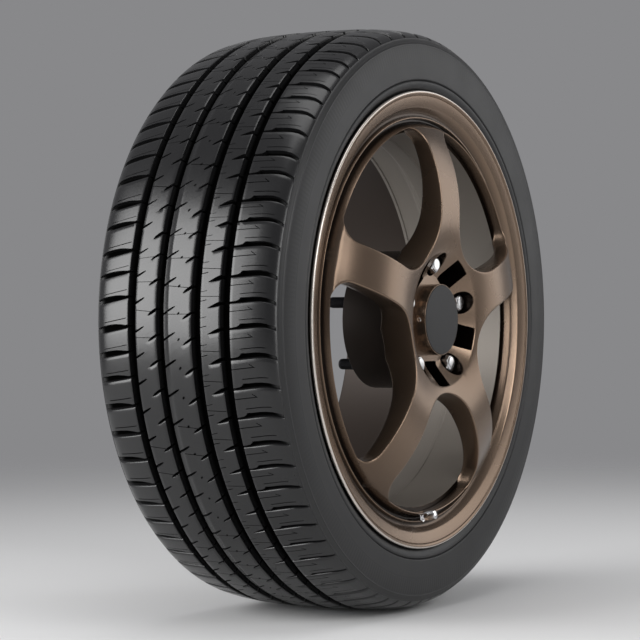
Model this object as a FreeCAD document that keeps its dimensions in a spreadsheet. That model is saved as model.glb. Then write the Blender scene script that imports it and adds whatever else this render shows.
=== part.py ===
import FreeCAD, Part
import math
import os
import re

import Sketcher

# A car wheel with its performance tyre, in millimetres.
# The origin is the centre of the hub mounting face. The wheel turns about Y.
# The side away from the car faces -Y, the car's hub meets the wheel from +Y, and +Z is up.

doc = FreeCAD.newDocument("wheel_with_tyre")

# The driving sizes, each written once. Lengths are in millimetres and angles in degrees.
SIZES = {
    # rim
    "wheel_offset": 47.0,
    "bead_seat_dia": 462.0,
    "rim_width": 203.2,
    "flange_height": 17.3,
    "flange_width": 11.6,
    "flange_chamfer": 3.0,
    "flange_slant": 8.0,
    "bead_seat_width": 21.0,
    "well_depth": 21.0,
    "well_slope": 12.0,
    "well_width": 50.0,
    "ledge_depth": 9.0,
    "ledge_slope": 10.0,
    "barrel_wall": 6.0,
    # lip between the rim's edge and the spokes, as widths inwards and depths behind the flange
    "lip_edge": 2.3,
    "lip_land": 12.5,
    "lip_wall": 11.5,
    "lip_undercut": 2.0,
    "lip_rise": 1.2,
    "lip_bend": 4.6,
    "lip_step": 8.2,
    "cove_depth": 12.0,
    "cove_near": 2.0,
    "cove_far": 5.0,
    "groove_depth": 12.7,
    "groove_flat": 2.5,
    "groove_slope": 6.5,
    # spoke face and back
    "face_arc": 163.0,
    "face_inner": 86.0,
    "face_inner_r": 74.0,
    "face_rise": 13.3,
    "back_arc": 125.0,
    "back_lift": 1.6,
    "back_inner_r": 78.0,
    "back_margin": 4.0,
    "back_plane": 51.0,
    # windows
    "spoke_count": 5,
    "spoke_width": 43.0,
    "window_inner_r": 80.0,
    "window_reach": 1.0,
    "window_corner": 18.0,
    "cut_past": 3.0,
    "cut_clear": 30.0,
    # hub
    "hub_dia": 150.0,
    "bore_dia": 72.6,
    "bore_length": 45.0,
    "socket_step": 0.5,
    "hub_ring": 67.0,
    "hub_ring_dia": 102.0,
    "bolt_circle": 120.0,
    "bolt_hole_dia": 15.0,
    "bolt_pocket_dia": 25.0,
    "bolt_seat": 34.0,
    "bolt_seat_angle": 30.0,
    "relief_width": 26.0,
    "relief_inner_r": 45.0,
    "relief_outer_r": 70.0,
    "relief_floor": 36.0,
    # lug bolts
    "bolt_dia": 12.0,
    "bolt_reach": 25.0,
    "bolt_hex": 17.0,
    "bolt_top": 75.5,
    "bolt_end_dia": 16.0,
    "bolt_end": 1.5,
    "collar_dia": 23.0,
    "collar": 3.6,
    "bolt_seat_gap": 0.3,
    # centre cap
    "cap_dia": 77.0,
    "cap_height": 13.3,
    "cap_spigot": 14.0,
    "cap_fit": 0.25,
    "cap_wall": 4.0,
    "disc_dia": 74.8,
    "disc_thickness": 1.5,
    "screw_dia": 5.6,
    "screw_length": 3.2,
    "screw_height": 7.0,
    "screw_fit": 0.05,
    "screw_socket": 2.6,
    # valve
    "valve_tilt": 12.0,
    "valve_wall": 6.0,
    "valve_dia": 8.0,
    "valve_hole_fit": 0.4,
    "valve_head_dia": 12.0,
    "valve_head": 3.0,
    "valve_bay_fit": 1.0,
    "grommet": 2.5,
    "valve_reach": 18.5,
    "valve_bore_dia": 5.0,
    "nut_hex": 10.0,
    "nut_height": 4.5,
    "nut_fit": 0.3,
    "core_length": 14.0,
    "core_sink": 1.0,
    "core_fit": 0.05,
    "core_hole_dia": 2.0,
    "pin_fit": 0.3,
    "pin_sink": 0.5,
    "pin_tail": 2.0,
    "valve_cap_dia": 10.0,
    "valve_cap_length": 12.5,
    "valve_cap_end": 2.0,
    "valve_cap_fit": 0.3,
    # tyre
    "section_height": 87.5,
    "section_width": 224.6,
    "shoulder_drop": 13.5,
    "shoulder_inset": 3.8,
    "shoulder_edge": 9.0,
    "tread_width": 184.0,
    "tread_drop": 5.2,
    "rib_drop": 1.0,
    "edge_drop": 1.6,
    "tread_depth": 7.5,
    "tread_base": 9.0,
    "groove_inner_at": 20.2,
    "groove_outer_at": 55.8,
    "groove_width": 10.6,
    "groove_floor": 6.4,
    "protector_height": 10.0,
    "protector_gap": 1.2,
    "sidewall": 14.0,
    "bead_width": 14.0,
    "bead_rise": 21.0,
    "bead_fit": 0.3,
    "slot_count": 44,
    "slot_width": 4.0,
    "slot_slant": 9.0,
    "slot_inset": 5.0,
    "slot_start": 0.5,
    "slot_end": 4.5,
}

# Sizes that follow from the driving ones.
DERIVED = {
    "bead_r": "bead_seat_dia / 2",
    "flange_r": "bead_r + flange_height",
    "well_r": "bead_r - well_depth",
    "ledge_r": "bead_r - ledge_depth",
    "out_bead": "wheel_offset - rim_width / 2",
    "in_bead": "wheel_offset + rim_width / 2",
    "out_edge": "out_bead - flange_width",
    "in_edge": "in_bead + flange_width",
    "well_out": "out_bead + bead_seat_width + well_slope",
    "well_in": "well_out + well_width",
    "ledge_in": "in_bead - bead_seat_width - ledge_slope",
    "lip_rise_r": "flange_r - flange_chamfer - lip_edge",
    "lip_bend_r": "lip_rise_r - lip_land",
    "lip_step_r": "lip_bend_r - lip_wall",
    "groove_outer_r": "lip_step_r - lip_undercut",
    "groove_inner_r": "groove_outer_r - groove_flat",
    "groove_y": "out_edge + groove_depth",
    "face_outer_r": "groove_inner_r - groove_slope",
    "face_outer_y": "groove_y - face_rise",
    "back_outer_r": "well_r - barrel_wall - back_margin",
    "back_y": "-back_plane - back_lift",
    "front_clear": "face_inner + cut_clear",
    "half_turn": "180 / spoke_count",
    "window_outer_r": "face_outer_r + window_reach",
    "window_mid": "(window_inner_r - spoke_width / 2) / (1 - sin(half_turn * 1 deg))",
    "window_end": "window_mid - window_inner_r",
    "corner_v": "spoke_width / 2 + window_corner",
    "corner_u": "sqrt((window_outer_r - window_corner)^2 - corner_v^2)",
    "corner_out": "window_outer_r / (window_outer_r - window_corner)",
    "socket_r": "bore_dia / 2 + socket_step",
    "bolt_r": "bolt_circle / 2",
    "seat_depth": "(bolt_pocket_dia - bolt_hole_dia) / 2 / tan(bolt_seat_angle * 1 deg)",
    "cone_top": "bolt_seat + bolt_seat_gap / sin(bolt_seat_angle * 1 deg)",
    "cap_front": "hub_ring + cap_height",
    "screw_y": "hub_ring + screw_height",
    "valve_r": "(groove_inner_r + groove_outer_r) / 2",
    "head_y": "valve_wall + grommet",
    "tyre_r": "bead_r + section_height",
    "tread_edge_r": "tyre_r - tread_drop",
    "shoulder_r": "tyre_r - shoulder_drop",
    "shoulder_at": "section_width / 2 - shoulder_inset",
    "groove_r": "tyre_r - tread_depth",
}

sheet = doc.addObject("Spreadsheet::Sheet", "Sizes")
for row, (alias, amount) in enumerate(list(SIZES.items()) + list(DERIVED.items()), start=1):
    sheet.set(f"A{row}", alias)
    sheet.set(f"B{row}", f"={amount}" if alias in DERIVED else str(amount))
    sheet.setAlias(f"B{row}", alias)
doc.recompute()

ALIASES = set(SIZES) | set(DERIVED)


def bound(text):
    """The same expression with every size's name pointing at its cell of the sheet."""
    return re.sub(r"[a-z_]\w*", lambda word: f"Sizes.{word[0]}" if word[0] in ALIASES else word[0], text)


def size(text):
    """The present value of an expression in sizes."""
    return float(sheet.evalExpression(text))


def drive(thing, prop, text):
    """Tie one property of a document object to the sheet."""
    thing.setExpression(prop, bound(text))


def new_body(label):
    body = doc.addObject("PartDesign::Body", label)
    body.Label = label
    return body


def origin_part(body, role):
    return next(part for part in body.Origin.OriginFeatures if part.Role == role)


def new_sketch(body, name, plane, shift=("0", "0", "0"), turn_axis=(0, 0, 1), turn="0"):
    """A sketch on one of the body's own origin planes, moved and turned in that plane's axes."""
    sketch = body.newObject("Sketcher::SketchObject", name)
    sketch.AttachmentSupport = [(origin_part(body, plane), "")]
    sketch.MapMode = "FlatFace"
    sketch.AttachmentOffset = FreeCAD.Placement(
        FreeCAD.Vector(*(size(text) for text in shift)),
        FreeCAD.Rotation(FreeCAD.Vector(*turn_axis), size(turn)),
    )
    for letter, text in zip("xyz", shift):
        if text != "0":
            drive(sketch, f"AttachmentOffset.Base.{letter}", text)
    if turn != "0":
        drive(sketch, "AttachmentOffset.Rotation.Angle", turn)
    return sketch


def arc_through(start, end, radius, side):
    """The short arc between two points, with its centre on the left (side 1) or right (side -1) of the way."""
    chord = end - start
    normal = FreeCAD.Vector(-chord.y, chord.x, 0) * (side / chord.Length)
    centre = (start + end) * 0.5 + normal * math.sqrt(max(radius**2 - chord.Length**2 / 4, 0))
    middle = (start + end) * 0.5 - centre
    return Part.Arc(start, centre + middle * (radius / middle.Length), end)


def outline(sketch, corners, arcs=None):
    """A closed outline. Each corner is a pair of expressions, and arcs gives some sides a radius and a side."""
    arcs = arcs or {}
    points = [FreeCAD.Vector(size(across), size(up), 0) for across, up in corners]
    count = len(points)
    ends = []
    for i, start in enumerate(points):
        end = points[(i + 1) % count]
        if i in arcs:
            radius, side = arcs[i]
            shape = arc_through(start, end, size(radius), side)
            number = sketch.addGeometry(shape, False)
            first = sketch.getPoint(number, 1)
            ends.append((number, 1, 2) if first.distanceToPoint(start) < 1e-6 else (number, 2, 1))
        else:
            number = sketch.addGeometry(Part.LineSegment(start, end), False)
            ends.append((number, 1, 2))
    for i in range(count):
        before = ends[i - 1]
        sketch.addConstraint(
            Sketcher.Constraint("Coincident", before[0], before[2], ends[i][0], ends[i][1])
        )
    for i, (across, up) in enumerate(corners):
        number, place, _ = ends[i]
        for kind, text, value in (
            ("DistanceX", across, points[i].x),
            ("DistanceY", up, points[i].y),
        ):
            index = sketch.addConstraint(Sketcher.Constraint(kind, -1, 1, number, place, value))
            drive(sketch, f"Constraints[{index}]", text)
    for i, (radius, _) in arcs.items():
        index = sketch.addConstraint(Sketcher.Constraint("Radius", ends[i][0], size(radius)))
        drive(sketch, f"Constraints[{index}]", radius)


def circle(sketch, across, up, dia):
    """A circle with its centre and diameter tied to the sheet."""
    centre = FreeCAD.Vector(size(across), size(up), 0)
    number = sketch.addGeometry(Part.Circle(centre, FreeCAD.Vector(0, 0, 1), size(dia) / 2), False)
    for kind, text, value in (("DistanceX", across, centre.x), ("DistanceY", up, centre.y)):
        index = sketch.addConstraint(Sketcher.Constraint(kind, -1, 1, number, 3, value))
        drive(sketch, f"Constraints[{index}]", text)
    index = sketch.addConstraint(Sketcher.Constraint("Diameter", number, size(dia)))
    drive(sketch, f"Constraints[{index}]", dia)


def turned(body, name, sketch, kind="PartDesign::Revolution"):
    """The sketch turned a full circle about its own horizontal axis, added or cut away."""
    feature = body.newObject(kind, name)
    feature.Profile = sketch
    feature.ReferenceAxis = (sketch, ["H_Axis"])
    feature.Angle = 360
    return feature


def pocket(body, name, sketch, depth, both_ways=False):
    """The sketch cut into the body, away from the side it faces, or half the depth each way."""
    feature = body.newObject("PartDesign::Pocket", name)
    feature.Profile = sketch
    feature.Length = size(depth)
    if both_ways:
        feature.SideType = "Symmetric"
    drive(feature, "Length", depth)
    return feature


def pad(body, name, sketch, length):
    """The sketch raised off its plane."""
    feature = body.newObject("PartDesign::Pad", name)
    feature.Profile = sketch
    feature.Length = size(length)
    drive(feature, "Length", length)
    return feature


def repeat(body, name, features, count, axis="Y_Axis"):
    """Copies of the features, evenly spaced in a full circle."""
    pattern = body.newObject("PartDesign::PolarPattern", name)
    pattern.Originals = features
    pattern.Axis = (origin_part(body, axis), [""])
    pattern.Angle = 360
    pattern.Occurrences = int(size(count))
    drive(pattern, "Occurrences", count)
    body.Tip = pattern
    return pattern


def turned_body(label, corners, arcs=None):
    """A body turned about Y from corners given as the place along Y and the radius."""
    body = new_body(label)
    sketch = new_sketch(body, f"{label}_section", "YZ_Plane")
    outline(sketch, corners, arcs)
    turned(body, f"{label}_turned", sketch)
    return body


def make_wheel():
    """The wheel: its section turned, then spoke backs, windows, lug holes, reliefs and valve hole cut."""
    tyre_side = [
        ("out_edge + flange_chamfer", "flange_r"),
        ("out_bead", "flange_r - flange_slant"),
        ("out_bead", "bead_r"),
        ("out_bead + bead_seat_width", "bead_r"),
        ("well_out", "well_r"),
        ("well_in", "well_r"),
        ("well_in + ledge_slope", "ledge_r"),
        ("ledge_in", "ledge_r"),
        ("in_bead - bead_seat_width", "bead_r"),
        ("in_bead", "bead_r"),
        ("in_bead", "flange_r - flange_slant"),
        ("in_edge - flange_chamfer", "flange_r"),
    ]
    inside = [
        ("in_edge", "flange_r - flange_chamfer"),
        ("in_edge", "ledge_r - barrel_wall"),
        ("well_in + ledge_slope", "ledge_r - barrel_wall"),
        ("well_in", "well_r - barrel_wall"),
        ("-back_plane", "well_r - barrel_wall"),
        ("-back_plane", "hub_dia / 2"),
        ("0", "hub_dia / 2"),
        ("0", "bore_dia / 2"),
        ("-bore_length", "bore_dia / 2"),
        ("-bore_length", "socket_r"),
    ]
    front = [
        ("-hub_ring", "socket_r"),
        ("-hub_ring", "hub_ring_dia / 2"),
        ("-face_inner", "face_inner_r"),
        ("face_outer_y", "face_outer_r"),
        ("groove_y", "groove_inner_r"),
        ("groove_y", "groove_outer_r"),
        ("out_edge + lip_step", "lip_step_r"),
        ("out_edge + cove_depth", "lip_step_r + cove_near"),
        ("out_edge + cove_depth", "lip_bend_r - cove_far"),
        ("out_edge + lip_bend", "lip_bend_r"),
        ("out_edge + lip_rise", "lip_rise_r"),
        ("out_edge", "flange_r - flange_chamfer"),
    ]
    corners = tyre_side + inside + front
    face_side = corners.index(("-face_inner", "face_inner_r"))
    wheel = turned_body("wheel", corners, {face_side: ("face_arc", -1)})

    # The hollow arch behind one spoke, as wide as the spokes are apart at the hub.
    arch = new_sketch(wheel, "spoke_back", "YZ_Plane")
    outline(
        arch,
        [
            ("back_y", "back_inner_r"),
            ("back_y", "back_outer_r"),
            ("cut_past - back_plane", "back_outer_r"),
            ("cut_past - back_plane", "back_inner_r"),
        ],
        {0: ("back_arc", -1)},
    )
    arch_width = "2 * back_inner_r * tan(half_turn * 1 deg)"
    arch_cut = pocket(wheel, "spoke_back_cut", arch, arch_width, both_ways=True)

    # One window between two spokes: sides parallel to the spokes, a round end at the hub, two round corners.
    across_spoke = "(corner_u * sin(half_turn * 1 deg) - {v} * cos(half_turn * 1 deg))"
    along_spoke = "(-corner_u * cos(half_turn * 1 deg) - {v} * sin(half_turn * 1 deg))"
    right = [
        (
            "window_end * cos(half_turn * 1 deg)",
            "window_end * sin(half_turn * 1 deg) - window_mid",
        ),
        (across_spoke.format(v="spoke_width / 2"), along_spoke.format(v="spoke_width / 2")),
        (
            across_spoke.format(v="corner_v") + " * corner_out",
            along_spoke.format(v="corner_v") + " * corner_out",
        ),
    ]
    left = [(f"-({across})", up) for across, up in reversed(right)]
    window = new_sketch(wheel, "window", "XZ_Plane", ("0", "0", "front_clear"))
    rounds = {
        1: ("window_corner", -1),
        2: ("window_outer_r", -1),
        3: ("window_corner", -1),
        5: ("window_end", -1),
    }
    outline(window, right + left, rounds)
    window_cut = pocket(wheel, "window_cut", window, "front_clear - back_plane + cut_past")

    # One lug hole: a round pocket, a cone seat and the bolt's clearance hole.
    lug = new_sketch(wheel, "lug_hole", "YZ_Plane", ("0", "bolt_r", "0"))
    outline(
        lug,
        [
            ("-front_clear", "0"),
            ("-front_clear", "bolt_pocket_dia / 2"),
            ("-bolt_seat", "bolt_pocket_dia / 2"),
            ("seat_depth - bolt_seat", "bolt_hole_dia / 2"),
            ("cut_past", "bolt_hole_dia / 2"),
            ("cut_past", "0"),
        ],
    )
    lug_cut = turned(wheel, "lug_hole_cut", lug, "PartDesign::Groove")

    # One rectangular relief between two lug holes.
    relief = new_sketch(wheel, "relief", "XZ_Plane", ("0", "0", "front_clear"))
    outline(
        relief,
        [
            ("-relief_width / 2", "-relief_outer_r"),
            ("relief_width / 2", "-relief_outer_r"),
            ("relief_width / 2", "-relief_inner_r"),
            ("-relief_width / 2", "-relief_inner_r"),
        ],
    )
    relief_cut = pocket(wheel, "relief_cut", relief, "front_clear - relief_floor")
    repeat(wheel, "round_the_hub", [arch_cut, window_cut, lug_cut, relief_cut], "spoke_count")

    # The valve hole, with a spot face for the nut in the groove and a bay for the head on the tyre's side.
    hole = new_sketch(wheel, "valve_hole", "YZ_Plane", ("groove_y", "-valve_r", "0"), turn="-valve_tilt")
    spot_r = "nut_hex / sqrt(3) + nut_fit"
    hole_r = "valve_dia / 2 + valve_hole_fit"
    bay_r = "valve_head_dia / 2 + valve_bay_fit"
    outline(
        hole,
        [
            ("-front_clear", "0"),
            ("-front_clear", spot_r),
            ("0", spot_r),
            ("0", hole_r),
            ("valve_wall", hole_r),
            ("valve_wall", bay_r),
            ("2 * bead_seat_width + well_slope", bay_r),
            ("2 * bead_seat_width + well_slope", "0"),
        ],
    )
    turned(wheel, "valve_hole_cut", hole, "PartDesign::Groove")
    return wheel


def make_tyre():
    """The tyre: its section with four grooves turned, then slots cut across both shoulders."""

    def groove(middle, near_r, far_r):
        """Four corners of one circumferential groove, from the crown outwards."""
        return [
            (f"({middle} - groove_width / 2)", near_r),
            (f"({middle} - groove_floor / 2)", "groove_r"),
            (f"({middle} + groove_floor / 2)", "groove_r"),
            (f"({middle} + groove_width / 2)", far_r),
        ]

    half = groove("groove_inner_at", "tyre_r", "tyre_r")
    half += groove("groove_outer_at", "tyre_r - rib_drop", "tyre_r - edge_drop")
    half += [
        ("(tread_width / 2)", "tread_edge_r"),
        ("shoulder_at", "shoulder_r"),
        ("(section_width / 2)", "shoulder_r - shoulder_edge"),
        ("(section_width / 2)", "flange_r + protector_height"),
        ("(rim_width / 2 + flange_width - flange_chamfer)", "flange_r + protector_gap"),
        ("(rim_width / 2 - bead_fit)", "flange_r - flange_slant + protector_gap"),
        ("(rim_width / 2 - bead_fit)", "bead_r + bead_fit"),
        ("(rim_width / 2 - bead_width)", "bead_r + bead_fit"),
        ("(section_width / 2 - sidewall)", "bead_r + bead_rise"),
        ("(section_width / 2 - sidewall)", "groove_r - tread_base"),
    ]
    outer = [(f"wheel_offset - {across}", up) for across, up in half]
    inner = [(f"wheel_offset + {across}", up) for across, up in reversed(half)]
    tyre = turned_body("tyre", outer + inner)

    # A slot lies in a plane through the radius, slanted from the axle's direction, and opens at the shoulder.
    for side, name in ((-1, "outer"), (1, "inner")):
        start = f"{side} * (groove_outer_at + groove_width / 2 + slot_inset)"
        over = f"{side} * (section_width / 2 + slot_end)"
        slot = new_sketch(
            tyre, f"{name}_slot", "YZ_Plane", ("wheel_offset", "0", "0"), (0, 1, 0), "slot_slant"
        )
        outline(
            slot,
            [
                (start, "tyre_r - edge_drop - slot_start"),
                (over, "shoulder_r - slot_end"),
                (over, "tyre_r + slot_end"),
                (start, "tyre_r + slot_end"),
            ],
        )
        slot_cut = pocket(tyre, f"{name}_slot_cut", slot, "slot_width", both_ways=True)
        repeat(tyre, f"{name}_slots", [slot_cut], "slot_count")
    return tyre


def hexagon(sketch, up, across_flats):
    """Six corners of a hexagon about a point on the sketch's upright axis."""
    corners = []
    for turn in range(6):
        across = f"{across_flats} / sqrt(3) * cos({60 * turn} deg)"
        rise = f"{up} + {across_flats} / sqrt(3) * sin({60 * turn} deg)"
        corners.append((across, rise))
    outline(sketch, corners)


def make_bolts():
    """Five lug bolts in one node: a hexagon head with a turned end, a collar, a cone seat and a shank."""
    bolts = new_body("lug_bolts")
    collar_y = "((bolt_pocket_dia - collar_dia) / 2 / tan(bolt_seat_angle * 1 deg) - cone_top)"
    section = new_sketch(bolts, "bolt_section", "YZ_Plane", ("0", "bolt_r", "0"))
    outline(
        section,
        [
            ("-bolt_top", "0"),
            ("-bolt_top", "bolt_end_dia / 2"),
            ("bolt_end - bolt_top", "bolt_end_dia / 2"),
            ("bolt_end - bolt_top", "bolt_dia / 2"),
            (f"{collar_y} - collar", "bolt_dia / 2"),
            (f"{collar_y} - collar", "collar_dia / 2"),
            (collar_y, "collar_dia / 2"),
            ("(bolt_pocket_dia - bolt_dia) / 2 / tan(bolt_seat_angle * 1 deg) - cone_top", "bolt_dia / 2"),
            ("bolt_reach", "bolt_dia / 2"),
            ("bolt_reach", "0"),
        ],
    )
    turning = turned(bolts, "bolt_turned", section)
    head = new_sketch(bolts, "bolt_hexagon", "XZ_Plane", ("0", "0", f"collar - {collar_y}"))
    hexagon(head, "bolt_r", "bolt_hex")
    hexed = pad(bolts, "bolt_head", head, f"bolt_top - bolt_end - collar + {collar_y}")
    repeat(bolts, "bolts", [turning, hexed], "spoke_count")
    return bolts


def make_cap():
    """The centre cap with its spigot, the flat disc on its front and the screw in its side."""
    spigot_r = "(socket_r - cap_fit)"
    cap = turned_body(
        "centre_cap",
        [
            ("-cap_front", "0"),
            ("-cap_front", "cap_dia / 2"),
            ("-hub_ring", "cap_dia / 2"),
            ("-hub_ring", spigot_r),
            ("cap_spigot - hub_ring", spigot_r),
            ("cap_spigot - hub_ring", f"{spigot_r} - cap_wall"),
            ("cap_wall - cap_front", f"{spigot_r} - cap_wall"),
            ("cap_wall - cap_front", "0"),
        ],
    )
    hole = new_sketch(cap, "screw_hole", "XY_Plane", ("0", "-screw_y", "0"))
    outline(
        hole,
        [
            ("-cap_dia / 2 - cut_past", "0"),
            ("-cap_dia / 2 - cut_past", "screw_dia / 2 + screw_fit"),
            ("screw_length - cap_dia / 2", "screw_dia / 2 + screw_fit"),
            ("screw_length - cap_dia / 2", "0"),
        ],
    )
    turned(cap, "screw_hole_cut", hole, "PartDesign::Groove")

    disc = turned_body(
        "cap_disc",
        [
            ("-cap_front - disc_thickness", "0"),
            ("-cap_front - disc_thickness", "disc_dia / 2"),
            ("-cap_front", "disc_dia / 2"),
            ("-cap_front", "0"),
        ],
    )

    screw = new_body("cap_screw")
    section = new_sketch(screw, "screw_section", "XY_Plane", ("0", "-screw_y", "0"))
    outline(
        section,
        [
            ("-cap_dia / 2", "screw_socket / 2"),
            ("-cap_dia / 2", "screw_dia / 2"),
            ("screw_length - cap_dia / 2", "screw_dia / 2"),
            ("screw_length - cap_dia / 2", "0"),
            ("screw_length / 2 - cap_dia / 2", "0"),
            ("screw_length / 2 - cap_dia / 2", "screw_socket / 2"),
        ],
    )
    turned(screw, "screw_turned", section)
    return [cap, disc, screw]


def on_valve(body):
    """Place a body made about Y on the valve's slanted axis, with its zero on the groove's floor."""
    body.Placement = FreeCAD.Placement(
        FreeCAD.Vector(0, size("groove_y"), -size("valve_r")),
        FreeCAD.Rotation(FreeCAD.Vector(1, 0, 0), -size("valve_tilt")),
    )
    drive(body, "Placement.Base.y", "groove_y")
    drive(body, "Placement.Base.z", "-valve_r")
    drive(body, "Placement.Rotation.Angle", "-valve_tilt")
    return body


def make_valve():
    """The clamp-in valve: stem, rubber grommet, nut, core, pin and cap."""
    stem_r = "valve_dia / 2"
    stem = turned_body(
        "valve_stem",
        [
            ("-valve_reach", "valve_bore_dia / 2"),
            ("-valve_reach", stem_r),
            ("head_y", stem_r),
            ("head_y", "valve_head_dia / 2"),
            ("head_y + valve_head", "valve_head_dia / 2"),
            ("head_y + valve_head", "valve_bore_dia / 2"),
        ],
    )
    grommet = turned_body(
        "valve_grommet",
        [
            ("valve_wall", f"{stem_r} + core_fit"),
            ("valve_wall", "valve_head_dia / 2"),
            ("head_y", "valve_head_dia / 2"),
            ("head_y", f"{stem_r} + core_fit"),
        ],
    )
    nut = new_body("valve_nut")
    flats = new_sketch(nut, "nut_hexagon", "XZ_Plane")
    hexagon(flats, "0", "nut_hex")
    circle(flats, "0", "0", "valve_dia + 2 * core_fit")
    pad(nut, "nut_pad", flats, "nut_height")
    core_end = "(core_sink - valve_reach)"
    core = turned_body(
        "valve_core",
        [
            (core_end, "core_hole_dia / 2"),
            (core_end, "valve_bore_dia / 2 - core_fit"),
            (f"{core_end} + core_length", "valve_bore_dia / 2 - core_fit"),
            (f"{core_end} + core_length", "core_hole_dia / 2"),
        ],
    )
    pin = turned_body(
        "valve_pin",
        [
            ("pin_sink - valve_reach", "0"),
            ("pin_sink - valve_reach", "core_hole_dia / 2 - pin_fit"),
            (f"{core_end} + core_length + pin_tail", "core_hole_dia / 2 - pin_fit"),
            (f"{core_end} + core_length + pin_tail", "0"),
        ],
    )
    cap_tip = "(-valve_reach - valve_cap_fit - valve_cap_end)"
    cap = turned_body(
        "valve_cap",
        [
            (cap_tip, "0"),
            (cap_tip, "valve_cap_dia / 2"),
            (f"{cap_tip} + valve_cap_length", "valve_cap_dia / 2"),
            (f"{cap_tip} + valve_cap_length", f"{stem_r} + valve_cap_fit"),
            ("-valve_reach - valve_cap_fit", f"{stem_r} + valve_cap_fit"),
            ("-valve_reach - valve_cap_fit", "0"),
        ],
    )
    return [on_valve(body) for body in (stem, grommet, nut, core, pin, cap)]


def check_and_write(parts):
    """Stop on anything failed, empty or not valid, then write one file for each sub-part."""
    doc.recompute()
    failed = [thing.Label for thing in doc.Objects if {"Invalid", "Error"} & set(thing.State)]
    if failed:
        raise RuntimeError(f"not built: {failed}")
    for part in parts:
        if part.Shape.isNull() or not part.Shape.isValid():
            raise RuntimeError(f"not a valid solid: {part.Label}")
    os.makedirs("parts", exist_ok=True)
    for part in parts:
        part.Shape.exportStep(f"parts/{part.Label}.step")
        print(part.Label, len(part.Shape.Solids), "solid", round(part.Shape.Volume / 1000, 2), "cm3")


check_and_write([make_wheel(), make_tyre(), make_bolts()] + make_cap() + make_valve())
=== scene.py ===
# %% [markdown]
# # A car wheel with a performance tyre
# A low-profile tyre sits on a bronze five-spoke alloy wheel, with its bolts, centre cap and valve. The CAD
# parts come in first, each at its true place in metres, and they give every piece its size. Each piece is
# then drawn again as a finer surface, worked out with numpy, and takes its CAD part's place. A sculpted or
# subdivided mesh would do too, but formulas keep every groove and edge at its true size.

# %% Load the CAD parts
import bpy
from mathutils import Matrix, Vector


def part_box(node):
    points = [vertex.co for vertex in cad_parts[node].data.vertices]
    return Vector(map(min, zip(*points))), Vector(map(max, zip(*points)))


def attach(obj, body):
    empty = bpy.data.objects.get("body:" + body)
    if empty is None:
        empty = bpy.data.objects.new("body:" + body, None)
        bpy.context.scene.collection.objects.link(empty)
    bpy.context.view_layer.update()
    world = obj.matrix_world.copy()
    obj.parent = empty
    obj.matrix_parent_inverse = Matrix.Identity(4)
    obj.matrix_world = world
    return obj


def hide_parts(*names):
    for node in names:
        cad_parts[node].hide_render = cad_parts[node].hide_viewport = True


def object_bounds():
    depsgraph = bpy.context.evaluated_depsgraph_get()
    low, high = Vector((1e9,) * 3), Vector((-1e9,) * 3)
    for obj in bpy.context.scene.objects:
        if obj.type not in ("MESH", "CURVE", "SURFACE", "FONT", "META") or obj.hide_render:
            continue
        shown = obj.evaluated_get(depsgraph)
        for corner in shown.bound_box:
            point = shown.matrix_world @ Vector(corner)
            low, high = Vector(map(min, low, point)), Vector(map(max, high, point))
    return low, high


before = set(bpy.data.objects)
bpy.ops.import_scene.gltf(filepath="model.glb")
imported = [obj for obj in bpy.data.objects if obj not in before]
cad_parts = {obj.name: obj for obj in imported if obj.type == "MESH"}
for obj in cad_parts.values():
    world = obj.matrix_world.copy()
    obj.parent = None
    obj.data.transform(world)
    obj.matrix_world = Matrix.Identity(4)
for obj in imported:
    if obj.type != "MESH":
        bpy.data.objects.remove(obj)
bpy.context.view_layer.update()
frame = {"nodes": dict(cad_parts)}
print("parts:", ", ".join(frame["nodes"]))

# %% [markdown]
# ## Small tools
# Sizes are written in millimetres, as on a drawing, and Blender wants metres, so one function turns them.
# Colours are written as on a paint card and turned into linear light. Materials are made of nodes, and one
# small function adds any kind of node, so that every material below reads the same way.

# %% Units, colours and nodes
import math

import bmesh
import bpy
import numpy as np
from mathutils import Matrix, Vector


def mm(value):
    """Millimetres as metres."""
    return value / 1000.0


def linear(hex_colour):
    """A written sRGB colour as linear light: channel c becomes ((c + 0.055) / 1.055) to the power 2.4."""
    channels = np.array([int(hex_colour[i:i + 2], 16) for i in (1, 3, 5)]) / 255.0
    low = channels / 12.92
    high = ((channels + 0.055) / 1.055) ** 2.4
    return tuple(float(c) for c in np.where(channels <= 0.04045, low, high)) + (1.0,)


def node(tree, kind, links=None, **settings):
    """Add one shader node. A link goes from an input to a value, a socket, or a node's first output."""
    made = tree.nodes.new("ShaderNode" + kind)
    for name, value in settings.items():
        setattr(made, name, value)
    for name, source in (links or {}).items():
        if isinstance(source, bpy.types.Node):
            source = source.outputs[0]
        if isinstance(source, bpy.types.NodeSocket):
            tree.links.new(source, made.inputs[name])
        else:
            made.inputs[name].default_value = source
    return made


def new_material(name):
    """A material with an empty node tree."""
    made = bpy.data.materials.new(name)
    made.use_nodes = True
    made.node_tree.nodes.clear()
    return made, made.node_tree


print("mid grey as linear light:", linear("#808080")[0])

# %% [markdown]
# ## Metals and paints
# The wheel is cast aluminium under a satin bronze powder coat, the bolts are plated steel, the valve is
# plated brass. All of them take light in the same two ways: fine grains or flakes break up the highlight,
# and wide faint clouds, left by spraying and handling, make the gloss uneven. Two noise patterns give
# both, which stays sharp at any distance, where a painted picture would need a map. Where a piece carries
# a number named shade, the colour sinks to a darker one: that is painted shade, laid into recesses where
# little light reaches.

# %% Metals and paints
metal_look = {
    "grain": 0.4,  # mm; real flakes are near 0.05, too fine to show here, so they are drawn coarser
    "cloud": 70.0,  # mm, a hand's breadth
    "depth": 0.2,  # mm
    "share": 0.06,  # the bump's strength, from 0 to 1
    "detail": 3.0,
}
glossier, duller = 0.04, 0.05  # how far the clouds move the roughness


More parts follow.
